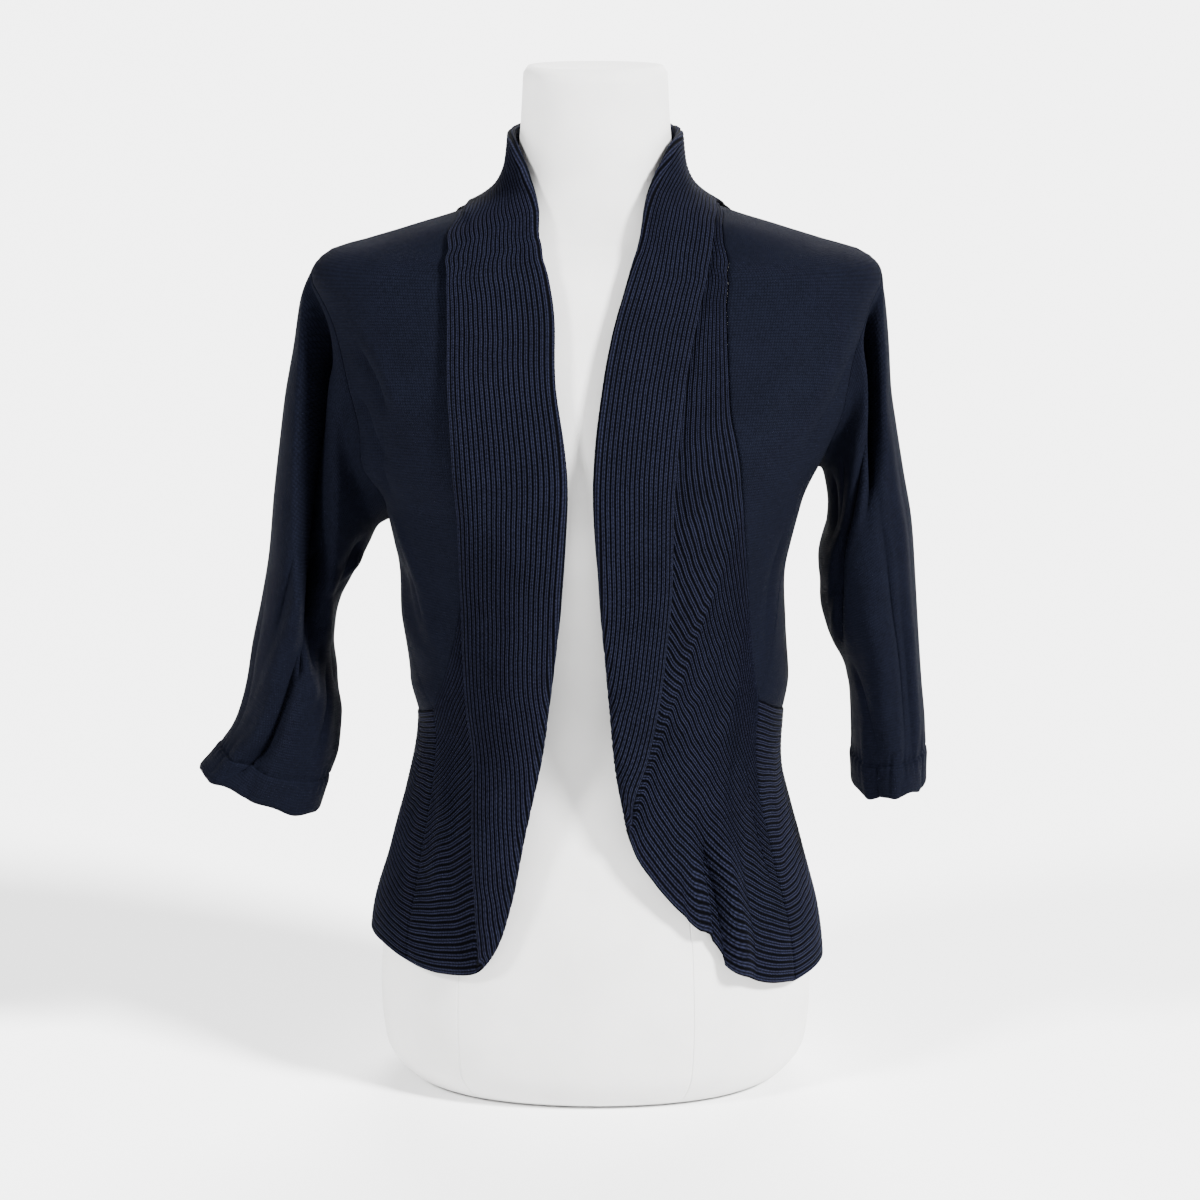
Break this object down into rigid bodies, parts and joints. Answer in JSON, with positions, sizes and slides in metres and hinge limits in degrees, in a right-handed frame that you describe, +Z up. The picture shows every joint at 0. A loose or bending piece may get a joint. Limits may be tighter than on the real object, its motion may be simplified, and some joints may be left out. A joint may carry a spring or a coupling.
{
  "type": "cardigan on dress form",
  "caption": "Cropped open-front knit cardigan with a broad ribbed shawl collar and hem band and three-quarter sleeves, worn by a limbless cloth-covered dress form.",
  "frame": {"origin": "middle of the flat base of the dress form, where it stands on a surface", "axes": "+Z up along the height of the form, -Y out of its front, +X towards the wearer's left"},
  "size_m": [0.5225, 0.2618, 0.735],
  "materials": {
    "knit": "fine plain knit in dark navy yarn, matt",
    "rib": "rib knit in dark navy yarn, matt",
    "form_cover": "off-white jersey stretched over the form, matt"
  },
  "bodies": {
    "root": {"dress_form": "form_cover", "back_panel": "knit", "front_right": "knit", "front_left": "knit", "sleeve_right": "knit", "sleeve_left": "knit", "band_right": "rib", "band_left": "rib", "back_hem_band": "rib"}
  },
  "joints": []
}
